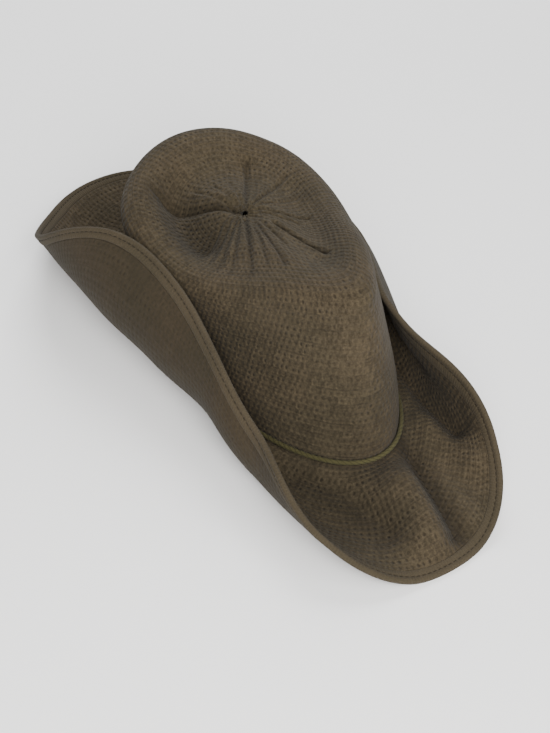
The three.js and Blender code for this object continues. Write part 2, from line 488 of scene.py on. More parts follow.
@dataclass
class KnitRows:
    """Knitted rows over a grid of faces: where each stitch lies, as texture coordinates."""

    pitch: float
    rows_apart: int

    def coordinates(self, grid: np.ndarray, first_row: float = 0.0) -> np.ndarray:
        """Texture coordinates of each face's four corners, in stitches and rows.

        Each row has a whole number of stitches, so the stitches keep their size where
        the cloth widens.

        Args:
            grid: Points, first round the hat and then along the cloth.
            first_row: Row number of the grid's start.

        Returns:
            An array of faces round the hat, faces along it, corners, and two numbers.
        """
        ring = np.linalg.norm(np.roll(grid, -1, 0) - grid, axis=-1)
        reach = np.concatenate([np.zeros((1, grid.shape[1])), np.cumsum(ring, 0)], 0)
        faces_round, faces_along = grid.shape[0], grid.shape[1] - 1
        out = np.empty((faces_round, faces_along, 4, 2))
        for j in range(faces_along):
            row = j // self.rows_apart
            middle = min(row * self.rows_apart + self.rows_apart // 2, faces_along)
            whole = reach[:, middle] / reach[-1, middle]
            stitches = max(6, round(float(reach[-1, middle]) / self.pitch))
            low = first_row + j / self.rows_apart
            high = first_row + (j + 1) / self.rows_apart
            out[:, j, 0] = np.stack([whole[:-1] * stitches, np.full(faces_round, low)], -1)
            out[:, j, 1] = np.stack([whole[1:] * stitches, np.full(faces_round, low)], -1)
            out[:, j, 2] = np.stack([whole[1:] * stitches, np.full(faces_round, high)], -1)
            out[:, j, 3] = np.stack([whole[:-1] * stitches, np.full(faces_round, high)], -1)
        return out


@dataclass
class ClothShell:
    """A closed skin of cloth: two faces of a grid, joined along both of its borders."""

    outer: np.ndarray
    inner: np.ndarray
    outer_knit: np.ndarray
    inner_knit: np.ndarray

    def build(
        self, name: str, offset: Vector,
        outer_marks: dict[str, np.ndarray] | None = None,
        inner_marks: dict[str, np.ndarray] | None = None,
    ) -> bpy.types.Object:
        """Makes the mesh object.

        Args:
            name: Name of the piece.
            offset: Where the hat's own middle lies in the frame, in millimetres.
            outer_marks: Values from 0 to 1 on the outer grid, by name.
            inner_marks: Values from 0 to 1 on the inner grid, by name.

        Returns:
            The new object, in metres, with smooth shading and knit coordinates.
        """
        count, across = self.outer.shape[:2]
        across_in = self.inner.shape[1]
        loops = np.concatenate([self.outer, self.inner[:, ::-1]], 1)
        size = across + across_in
        corner = np.arange(count)[:, None] * size + np.arange(size)[None, :]
        following = np.roll(corner, -1, 0)
        faces = np.stack(
            [corner, following, np.roll(following, -1, 1), np.roll(corner, -1, 1)], -1
        )
        knit = np.zeros((count, size, 4, 2))
        knit[:, : across - 1] = self.outer_knit
        knit[:, across : size - 1] = self.inner_knit[:, ::-1][:, :, [3, 2, 1, 0]]
        knit[:, across - 1] = self.outer_knit[:, -1][:, [3, 2, 2, 3]]
        knit[:, size - 1] = self.outer_knit[:, 0][:, [0, 1, 1, 0]]
        marks = {}
        plain = {mark: np.zeros(self.outer.shape[:2]) for mark in (PAINTED_FOLD_SHADE, STRETCHED)}
        plain_inner = {mark: np.zeros(self.inner.shape[:2]) for mark in (PAINTED_FOLD_SHADE, STRETCHED)}
        for mark in (PAINTED_FOLD_SHADE, STRETCHED):
            outside = {**plain, **(outer_marks or {})}[mark]
            inside = {**plain_inner, **(inner_marks or {})}[mark]
            marks[mark] = np.concatenate([outside, inside[:, ::-1]], 1)
        return make_mesh(
            name, loops.reshape(-1, 3), faces.reshape(-1, 4), knit.reshape(-1, 2), offset, marks
        )


def make_mesh(
    name: str, points: np.ndarray, faces: np.ndarray, knit: np.ndarray | None, offset: Vector,
    marks: dict[str, np.ndarray] | None = None,
) -> bpy.types.Object:
    """Makes a smooth mesh object from four-cornered faces.

    Args:
        name: Name of the piece.
        points: Vertices in millimetres.
        faces: Four vertex numbers for each face.
        knit: Texture coordinates for each face corner, if the piece has them.
        offset: Where the hat's own middle lies in the frame, in millimetres.
        marks: Values from 0 to 1 for each vertex, by the name of what they mark.

    Returns:
        The new object, linked to the scene.
    """
    mesh = bpy.data.meshes.new(name)
    placed = (points + np.array(offset)) * MM
    mesh.from_pydata(placed.tolist(), [], faces.tolist())
    if knit is not None:
        layer = mesh.uv_layers.new(name=KNIT_UV)
        layer.data.foreach_set("uv", knit.astype(np.float32).ravel())
    for mark, values in (marks or {}).items():
        layer = mesh.attributes.new(mark, "FLOAT", "POINT")
        layer.data.foreach_set("value", np.clip(values, 0, 1).astype(np.float32).ravel())
    mesh.polygons.foreach_set("use_smooth", np.ones(len(mesh.polygons), bool))
    mesh.update()
    piece = bpy.data.objects.new(name, mesh)
    bpy.context.scene.collection.objects.link(piece)
    return piece


def tube_mesh(
    path: np.ndarray, side: np.ndarray, up: np.ndarray, radius: np.ndarray, closed: bool
) -> tuple[np.ndarray, np.ndarray]:
    """Vertices and faces of a round-sectioned strand along a path.

    Args:
        path: Points along the middle of the strand.
        side: Sideways direction at each point.
        up: Upward direction at each point.
        radius: Radius for each point and each turn round the section.
        closed: Whether the path returns to its start.

    Returns:
        The vertices and the four-cornered faces.
    """
    sides = radius.shape[1]
    turn = np.arange(sides) * 2 * math.pi / sides
    ring = np.cos(turn)[None, :, None] * side[:, None, :] + np.sin(turn)[None, :, None] * up[:, None, :]
    points = path[:, None, :] + ring * radius[..., None]
    index = np.arange(len(path))[:, None] * sides + np.arange(sides)[None, :]
    following = np.roll(index, -1, 0)
    faces = np.stack([index, np.roll(index, -1, 1), np.roll(following, -1, 1), following], -1)
    if not closed:
        faces = faces[:-1]
    return points.reshape(-1, 3), faces.reshape(-1, 4)


# ---- Finishes ----------------------------------------------------------------------------

Socket = bpy.types.NodeSocket
Value = float | Socket


class NodeBench:
    """Places and joins shader nodes in one node tree."""

    def __init__(self, tree: bpy.types.NodeTree) -> None:
        """Starts on an empty tree."""
        self.tree = tree
        self.tree.nodes.clear()

    def add(self, kind: str, **settings: object) -> bpy.types.Node:
        """Adds a node and sets its properties.

        Args:
            kind: The node's type.
            settings: Its properties by name.

        Returns:
            The new node.
        """
        node = self.tree.nodes.new(kind)
        for name, value in settings.items():
            setattr(node, name, value)
        return node

    def feed(self, socket: Socket, value: object) -> None:
        """Joins a socket to an input, or sets the input to a plain value.

        Args:
            socket: The input.
            value: A socket to join, or a number, colour or vector.
        """
        if isinstance(value, bpy.types.NodeSocket):
            self.tree.links.new(value, socket)
        else:
            socket.default_value = value

    def sum_up(self, operation: str, *values: Value) -> Socket:
        """Adds a Math node.

        Args:
            operation: The node's operation.
            values: Its inputs, as sockets or numbers.

        Returns:
            The node's result.
        """
        node = self.add("ShaderNodeMath", operation=operation)
        for socket, value in zip(node.inputs, values):
            self.feed(socket, value)
        return node.outputs[0]

    def fade(self, value: Value, low: float, high: float, start: float = 0.0, end: float = 1.0) -> Socket:
        """Smooth step of a value from one range to another.

        Args:
            value: What is measured.
            low: Value at which the step starts.
            high: Value at which it ends.
            start: Result below the step.
            end: Result above it.

        Returns:
            The stepped value.
        """
        node = self.add("ShaderNodeMapRange", interpolation_type="SMOOTHSTEP")
        for socket, number in zip(node.inputs, (value, low, high, start, end)):
            self.feed(socket, number)
        return node.outputs[0]

    def mix_colour(self, share: Value, first: object, second: object, blend: str = "MIX") -> Socket:
        """Mixes two colours.

        Args:
            share: How much of the second colour there is.
            first: The first colour.
            second: The second colour.
            blend: How the colours are mixed.

        Returns:
            The mixed colour.
        """
        node = self.add("ShaderNodeMix", data_type="RGBA", blend_type=blend)
        self.feed(node.inputs[0], share)
        self.feed(node.inputs[6], first)
        self.feed(node.inputs[7], second)
        return node.outputs[2]

    def noise(self, vector: Socket, scale: float, detail: float = 3.0, rough: float = 0.5) -> Socket:
        """Adds a Noise Texture.

        Args:
            vector: Where it is read.
            scale: Its scale.
            detail: Its number of finer layers.
            rough: How strong the finer layers are.

        Returns:
            Its value.
        """
        node = self.add("ShaderNodeTexNoise")
        self.feed(node.inputs["Vector"], vector)
        node.inputs["Scale"].default_value = scale
        node.inputs["Detail"].default_value = detail
        node.inputs["Roughness"].default_value = rough
        return node.outputs[0]

    def group(self, made: bpy.types.NodeTree, **values: object) -> bpy.types.Node:
        """Places a node group.

        Args:
            made: The group.
            values: Its inputs by name, with underscores for spaces.

        Returns:
            The node that holds the group.
        """
        node = self.add("ShaderNodeGroup", node_tree=made)
        for name, value in values.items():
            self.feed(node.inputs[name.replace("_", " ")], value)
        return node


def new_group(name: str, inputs: dict[str, str], outputs: dict[str, str]) -> bpy.types.NodeTree:
    """Starts a shader node group.

    Args:
        name: Name of the group.
        inputs: Socket kinds by input name.
        outputs: Socket kinds by output name.

    Returns:
        The empty group with its sockets.
    """
    group = bpy.data.node_groups.new(name, "ShaderNodeTree")
    for direction, sockets in (("INPUT", inputs), ("OUTPUT", outputs)):
        for socket, kind in sockets.items():
            group.interface.new_socket(name=socket, in_out=direction, socket_type=kind)
    return group


FLOAT = "NodeSocketFloat"
VECTOR = "NodeSocketVector"
COLOUR = "NodeSocketColor"


class ClothGroups:
    """The effects that several finishes use, each built once as a node group."""

    def __init__(self) -> None:
        """Builds every group."""
        self.knit = self.build_knit()
        self.fibre = self.build_fibre()
        self.tone = self.build_tone()

    def build_knit(self) -> bpy.types.NodeTree:
        """Openwork knit: staggered eyelets between rows of rounded yarn.

        Returns:
            A group that takes stitch coordinates and gives heights and masks.
        """
        group = new_group(
            "Openwork knit",
            {
                "Knit": VECTOR, "Stretch": FLOAT, "Eyelet Width": FLOAT,
                "Eyelet Height": FLOAT, "Unevenness": FLOAT,
            },
            {"Height": FLOAT, "Eyelet": FLOAT, "Course": FLOAT, "Fleck": FLOAT, "Stitch Tone": FLOAT},
        )
        bench = NodeBench(group)
        given = bench.add("NodeGroupInput").outputs
        result = bench.add("NodeGroupOutput").inputs
        split = bench.add("ShaderNodeSeparateXYZ")
        bench.feed(split.inputs[0], given["Knit"])
        stitch, row = split.outputs[0], split.outputs[1]

        row_number = bench.sum_up("FLOOR", row)
        wander = bench.noise(given["Knit"], 0.45, 1.0)
        drift = bench.sum_up("MULTIPLY", bench.sum_up("SUBTRACT", wander, 0.5), given["Unevenness"])
        stagger = bench.sum_up("MULTIPLY", bench.sum_up("MODULO", row_number, 2.0), 0.5)
        placed = bench.sum_up("ADD", bench.sum_up("ADD", stitch, stagger), drift)
        column = bench.sum_up("FLOOR", placed)

        cell = bench.add("ShaderNodeCombineXYZ")
        bench.feed(cell.inputs[0], column)
        bench.feed(cell.inputs[1], row_number)
        chance = bench.add("ShaderNodeTexWhiteNoise", noise_dimensions="2D")
        bench.feed(chance.inputs["Vector"], cell.outputs[0])
        nudge = bench.add("ShaderNodeSeparateXYZ")
        bench.feed(nudge.inputs[0], chance.outputs["Color"])

        across = bench.sum_up("SUBTRACT", bench.sum_up("FRACT", placed), 0.5)
        along = bench.sum_up("SUBTRACT", bench.sum_up("FRACT", row), 0.5)
        aside = bench.sum_up("MULTIPLY", bench.sum_up("SUBTRACT", nudge.outputs[0], 0.5), 0.26)
        above = bench.sum_up("MULTIPLY", bench.sum_up("SUBTRACT", nudge.outputs[1], 0.5), 0.20)
        wide = bench.sum_up("DIVIDE", bench.sum_up("ADD", across, aside), given["Eyelet Width"])
        tall = bench.sum_up("DIVIDE", bench.sum_up("ADD", along, above), given["Eyelet Height"])
        from_hole = bench.sum_up(
            "SQRT", bench.sum_up("ADD", bench.sum_up("POWER", wide, 2.0), bench.sum_up("POWER", tall, 2.0))
        )
        region = bench.fade(bench.noise(given["Knit"], 0.11, 2.0), 0.36, 0.64, 0.35, 1.0)
        seen = bench.sum_up("MULTIPLY", bench.fade(chance.outputs[0], 0.0, 1.0, 0.25, 1.0), region)
        open_by = bench.sum_up("MAXIMUM", seen, given["Stretch"])
        eyelet = bench.sum_up("MULTIPLY", bench.fade(from_hole, 0.45, 1.25, 1.0, 0.0), open_by)

        wale = bench.sum_up("COSINE", bench.sum_up("MULTIPLY", across, 2 * math.pi))
        rib = bench.sum_up("COSINE", bench.sum_up("MULTIPLY", along, 2 * math.pi))
        wale_relief = bench.sum_up("MULTIPLY", wale, -0.20)
        yarn = bench.sum_up("ADD", wale_relief, bench.sum_up("MULTIPLY", rib, -0.20))

        dashes = bench.add("ShaderNodeCombineXYZ")
        bench.feed(dashes.inputs[0], bench.sum_up("MULTIPLY", stitch, 0.22))
        bench.feed(dashes.inputs[1], bench.sum_up("MULTIPLY", bench.sum_up("ROUND", row), 0.77))
        dashed = bench.fade(bench.noise(dashes.outputs[0], 1.0, 1.0), 0.50, 0.66, 0.12, 1.0)
        groove = bench.fade(bench.sum_up("ABSOLUTE", along), 0.26, 0.5)
        course = bench.sum_up("MULTIPLY", groove, bench.sum_up("MAXIMUM", dashed, given["Stretch"]))

        hole_depth = bench.sum_up("MULTIPLY", eyelet, 0.45)
        deep = bench.sum_up("ADD", hole_depth, bench.sum_up("MULTIPLY", course, 0.30))
        height = bench.sum_up("SUBTRACT", bench.sum_up("ADD", yarn, 0.5), deep)
        between = bench.fade(bench.sum_up("ADD", wale, bench.sum_up("ABSOLUTE", rib)), -0.9, -0.2, 1.0, 0.0)
        fleck = bench.sum_up("MULTIPLY", between, bench.fade(nudge.outputs[2], 0.35, 0.95))

        bench.feed(result["Height"], height)
        bench.feed(result["Eyelet"], eyelet)
        bench.feed(result["Course"], course)
        bench.feed(result["Fleck"], fleck)
        bench.feed(result["Stitch Tone"], chance.outputs[0])
        return group

    def build_fibre(self) -> bpy.types.NodeTree:
        """Soft fuzz of cotton yarn.

        Returns:
            A group that takes a place and a fineness and gives a height and a shade.
        """
        group = new_group(
            "Cotton fibre", {"Place": VECTOR, "Fineness": FLOAT}, {"Height": FLOAT, "Shade": FLOAT}
        )
        bench = NodeBench(group)
        given = bench.add("NodeGroupInput").outputs
        result = bench.add("NodeGroupOutput").inputs
        fuzz = bench.add("ShaderNodeTexNoise")
        bench.feed(fuzz.inputs["Vector"], given["Place"])
        bench.feed(fuzz.inputs["Scale"], given["Fineness"])
        fuzz.inputs["Detail"].default_value = 4.0
        fuzz.inputs["Roughness"].default_value = 0.62
        bench.feed(result["Height"], fuzz.outputs[0])
        bench.feed(result["Shade"], bench.fade(fuzz.outputs[0], 0.3, 0.7, -1.0, 1.0))
        return group

    def build_tone(self) -> bpy.types.NodeTree:
        """Colour of worn, evenly dyed cotton, with painted shade mixed in by a given share.

        Returns:
            A group that takes tints and masks and gives the colour.
        """
        group = new_group(
            "Dyed cotton",
            {
                "Place": VECTOR, "Dye": COLOUR, "Faded Dye": COLOUR, "Hollow Dye": COLOUR,
                "Hollow": FLOAT, "Shade": FLOAT, "Shade Strength": FLOAT,
            },
            {"Color": COLOUR},
        )
        bench = NodeBench(group)
        given = bench.add("NodeGroupInput").outputs
        result = bench.add("NodeGroupOutput").inputs
        patches = bench.noise(given["Place"], 17.0, 3.0, 0.55)
        faded = bench.mix_colour(bench.fade(patches, 0.35, 0.68), given["Dye"], given["Faded Dye"])
        gain = bench.sum_up("ADD", bench.sum_up("MULTIPLY", given["Shade"], given["Shade Strength"]), 1.0)
        grey = bench.add("ShaderNodeCombineColor")
        for socket in grey.inputs:
            bench.feed(socket, gain)
        shaded = bench.mix_colour(1.0, faded, grey.outputs[0], "MULTIPLY")
        # Painted shade: mixes towards the shade colour by the given share.
        bench.feed(result["Color"], bench.mix_colour(given["Hollow"], shaded, given["Hollow Dye"]))
        return group


@dataclass(frozen=True)
class Dye:
    """The colours of one yarn: as dyed, where it has faded, and a painted shade colour for its hollows and
    underside.
    """

    main: tuple[float, float, float, float]
    faded: tuple[float, float, float, float]
    painted_shade: tuple[float, float, float, float]


# The last colour of each dye is the colour of painted shade.
OLIVE = Dye(
    main=(0.036, 0.0285, 0.0170, 1),
    faded=(0.044, 0.0335, 0.0200, 1),
    painted_shade=(0.0075, 0.0055, 0.0032, 1),
)
OLIVE_HEM = Dye(
    main=(0.040, 0.0320, 0.0195, 1),
    faded=(0.048, 0.0375, 0.0230, 1),
    painted_shade=(0.0090, 0.0066, 0.0038, 1),
)
MOSS = Dye(
    main=(0.040, 0.0360, 0.0150, 1),
    faded=(0.058, 0.0520, 0.0230, 1),
    painted_shade=(0.0090, 0.0080, 0.0030, 1),
)


def matte_cloth(name: str) -> tuple[bpy.types.Material, NodeBench, bpy.types.Node]:
    """Starts a matte cloth material.

    Args:
        name: Name of the material.

    Returns:
        The material, its bench and its main shader.
    """
    material = bpy.data.materials.new(name)
    material.use_nodes = True
    bench = NodeBench(material.node_tree)
    surface = bench.add("ShaderNodeOutputMaterial")
    shader = bench.add("ShaderNodeBsdfPrincipled")
    bench.feed(surface.inputs["Surface"], shader.outputs[0])
    shader.inputs["Roughness"].default_value = 0.92
    shader.inputs["Specular IOR Level"].default_value = 0.12
    shader.inputs["Sheen Weight"].default_value = 0.03
    shader.inputs["Sheen Roughness"].default_value = 0.55
    return material, bench, shader


@dataclass(frozen=True)
class KnitFinish:
    """Openwork knit in one dye, smoother on its underside, with painted shade in its eyelets, courses and
    fold valleys and on its underside.
    """

    name: str
    dye: Dye
    depth: float
    under_share: float
    underside_painted_shade: float

    def material(self, groups: ClothGroups) -> bpy.types.Material:
        """Builds the material.

        Args:
            groups: The shared effects.

        Returns:
            The finished material.
        """
        material, bench, shader = matte_cloth(self.name)
        stitches = bench.add("ShaderNodeUVMap", uv_map=KNIT_UV).outputs[0]
        place = bench.add("ShaderNodeTexCoord").outputs["Object"]
        # Painted shade in the marked fold valleys.
        painted_fold_shade = bench.add("ShaderNodeAttribute", attribute_name=PAINTED_FOLD_SHADE).outputs["Fac"]
        stretched = bench.add("ShaderNodeAttribute", attribute_name=STRETCHED).outputs["Fac"]
        knit = bench.group(
            groups.knit,
            Knit=stitches,
            Stretch=stretched,
            Eyelet_Width=0.23,
            Eyelet_Height=0.28,
            Unevenness=0.7,
        ).outputs
        fibre = bench.group(groups.fibre, Place=place, Fineness=850.0).outputs
        split = bench.add("ShaderNodeSeparateXYZ")
        bench.feed(split.inputs[0], stitches)
        under = bench.sum_up("GREATER_THAN", split.outputs[1], 0.9 * REVERSE_ROW)
        strength = bench.fade(under, 0.0, 1.0, 1.0, self.under_share)
        tone = bench.sum_up("SUBTRACT", knit["Stitch Tone"], 0.5)
        shade = bench.sum_up("ADD", bench.sum_up("MULTIPLY", fibre["Shade"], 0.75), tone)
        shade = bench.sum_up("ADD", shade, bench.sum_up("MULTIPLY", knit["Fleck"], 1.0))
        # Painted light and shade: lighter on the yarn's crests, darker in its low places.
        shade = bench.sum_up("ADD", shade, bench.sum_up("MULTIPLY", knit["Height"], 0.4))
        # Painted shade in the eyelets and the course grooves.
        shade_in_openings = bench.sum_up("ADD", bench.sum_up("MULTIPLY", knit["Eyelet"], 0.62),
                                 bench.sum_up("MULTIPLY", knit["Course"], 0.32))
        # Painted shade share: the openings and the marked fold valleys.
        painted_shade = bench.sum_up("ADD", bench.sum_up("MULTIPLY", shade_in_openings, strength),
                              bench.sum_up("MULTIPLY", painted_fold_shade, 0.75))
        # Painted shade on the whole underside.
        painted_shade = bench.sum_up("ADD", painted_shade, bench.sum_up("MULTIPLY", under, self.underside_painted_shade))
        colour = bench.group(
            groups.tone,
            Place=place,
            Dye=self.dye.main,
            Faded_Dye=self.dye.faded,
            Hollow_Dye=self.dye.painted_shade,
            Hollow=bench.sum_up("MINIMUM", painted_shade, 0.92),
            Shade=bench.sum_up("MULTIPLY", shade, strength),
            Shade_Strength=0.36,
        ).outputs["Color"]
        bench.feed(shader.inputs["Base Color"], colour)
        relief = bench.sum_up("ADD", bench.sum_up("MULTIPLY", knit["Height"], strength),
                              bench.sum_up("MULTIPLY", fibre["Height"], 0.3))
        bump = bench.add("ShaderNodeBump")
        bump.inputs["Strength"].default_value = 0.8
        bump.inputs["Distance"].default_value = self.depth * MM
        bench.feed(bump.inputs["Height"], relief)
        bench.feed(shader.inputs["Normal"], bump.outputs[0])
        return material


@dataclass(frozen=True)
class HemFinish:
    """Turned edge of close knit, with painted shade in the stitched groove and its stitch holes, and painted
    light and shade along its ribs.
    """

    name: str
    dye: Dye
    groove: float
    groove_width: float

    def material(self, groups: ClothGroups) -> bpy.types.Material:
        """Builds the material.

        Args:
            groups: The shared effects.

        Returns:
            The finished material.
        """
        material, bench, shader = matte_cloth(self.name)
        stitches = bench.add("ShaderNodeUVMap", uv_map=KNIT_UV).outputs[0]
        place = bench.add("ShaderNodeTexCoord").outputs["Object"]
        split = bench.add("ShaderNodeSeparateXYZ")
        bench.feed(split.inputs[0], stitches)
        from_groove = bench.sum_up("ABSOLUTE", bench.sum_up(
            "SUBTRACT", bench.sum_up("MODULO", split.outputs[1], HEM_REVERSE_ROW), self.groove))
        in_groove = bench.fade(from_groove, 0.0, self.groove_width, 1.0, 0.0)
        beat = bench.sum_up("COSINE", bench.sum_up("MULTIPLY", split.outputs[0], 2 * math.pi))
        hole = bench.sum_up("MULTIPLY", in_groove, bench.fade(beat, -0.2, 0.8))
        rib = bench.sum_up("COSINE", bench.sum_up("MULTIPLY", split.outputs[0], 4 * math.pi))
        fibre = bench.group(groups.fibre, Place=place, Fineness=1300.0).outputs
        fuzz = bench.sum_up("MULTIPLY", fibre["Shade"], 0.6)
        # Painted light and shade along the ribs.
        shade = bench.sum_up("ADD", bench.sum_up("MULTIPLY", rib, 0.16), fuzz)
        # Painted shade in the stitch holes and the groove.
        stitch_hole_shade = bench.sum_up("MULTIPLY", hole, 0.5)
        colour = bench.group(
            groups.tone,
            Place=place,
            Dye=self.dye.main,
            Faded_Dye=self.dye.faded,
            Hollow_Dye=self.dye.painted_shade,
            Hollow=bench.sum_up("ADD", stitch_hole_shade, bench.sum_up("MULTIPLY", in_groove, 0.45)),
            Shade=shade,
            Shade_Strength=0.2,
        ).outputs["Color"]
        bench.feed(shader.inputs["Base Color"], colour)
        nap = bench.sum_up("MULTIPLY", fibre["Height"], 0.5)
        relief = bench.sum_up("ADD", bench.sum_up("MULTIPLY", rib, 0.25), nap)
        relief = bench.sum_up("SUBTRACT", relief, bench.sum_up("MULTIPLY", hole, 1.2))
        bump = bench.add("ShaderNodeBump")
        bump.inputs["Strength"].default_value = 0.7
        bump.inputs["Distance"].default_value = 0.5 * MM
        bench.feed(bump.inputs["Height"], relief)
        bench.feed(shader.inputs["Normal"], bump.outputs[0])
        return material


@dataclass(frozen=True)
class YarnFinish:
    """Twisted yarn, shaded between its strands."""

    name: str
    dye: Dye
    strands: int

    def material(self, groups: ClothGroups) -> bpy.types.Material:
        """Builds the material.

        Args:
            groups: The shared effects.

        Returns:
            The finished material.
        """
        material, bench, shader = matte_cloth(self.name)
        turns = bench.add("ShaderNodeUVMap", uv_map=KNIT_UV).outputs[0]
        place = bench.add("ShaderNodeTexCoord").outputs["Object"]
        split = bench.add("ShaderNodeSeparateXYZ")
        bench.feed(split.inputs[0], turns)
        winding = bench.sum_up("ADD", split.outputs[0], split.outputs[1])
        lay = bench.sum_up("MULTIPLY", winding, math.pi * self.strands)
        on_strand = bench.sum_up("ABSOLUTE", bench.sum_up("SINE", lay))
        fibre = bench.group(groups.fibre, Place=place, Fineness=1900.0).outputs
        colour = bench.group(
            groups.tone,
            Place=place,
            Dye=self.dye.main,
            Faded_Dye=self.dye.faded,
            Hollow_Dye=self.dye.painted_shade,
            # Painted shade between the strands.
            Hollow=bench.fade(on_strand, 0.0, 0.42, 0.7, 0.0),
            Shade=fibre["Shade"],
            Shade_Strength=0.16,
        ).outputs["Color"]
        bench.feed(shader.inputs["Base Color"], colour)
        bump = bench.add("ShaderNodeBump")
        bump.inputs["Strength"].default_value = 0.6
        bump.inputs["Distance"].default_value = 0.35 * MM
        nap = bench.sum_up("MULTIPLY", fibre["Height"], 0.4)
        bench.feed(bump.inputs["Height"], bench.sum_up("ADD", on_strand, nap))
        bench.feed(shader.inputs["Normal"], bump.outputs[0])
        return material


@dataclass(frozen=True)
class FloorFinish:
    """Plain pale floor with a faint mottle."""

    name: str
    tint: tuple[float, float, float, float]

    def material(self) -> bpy.types.Material:
        """Builds the material.

        Returns:
            The finished material.
        """
        material, bench, shader = matte_cloth(self.name)
        shader.inputs["Sheen Weight"].default_value = 0.0
        place = bench.add("ShaderNodeTexCoord").outputs["Object"]
        mottle = bench.fade(bench.noise(place, 3.0), 0.3, 0.7)
        darker = tuple(0.985 * part for part in self.tint[:3]) + (1,)
        bench.feed(shader.inputs["Base Color"], bench.mix_colour(mottle, self.tint, darker))
        return material


# ---- Pieces ------------------------------------------------------------------------------


class Slot(Enum):
    """Material slots of the record."""

    KNIT = "knit"
    HEM = "hem"
    CORD = "cord"


def settle(piece: bpy.types.Object, finish: bpy.types.Material, slot: Slot, *nodes: str) -> None:
    """Dresses a piece and says what it rides on and stands for.

    Args:
        piece: The finished mesh object.
        finish: Its material.
        slot: The record's slot for its finish; not used.
        nodes: Solids that it stands for.
    """
    piece.data.materials.append(finish)
    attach(piece, BODY)
    if nodes:
        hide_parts(*nodes)
    LOG.info("%s: %d faces", piece.name, len(piece.data.polygons))


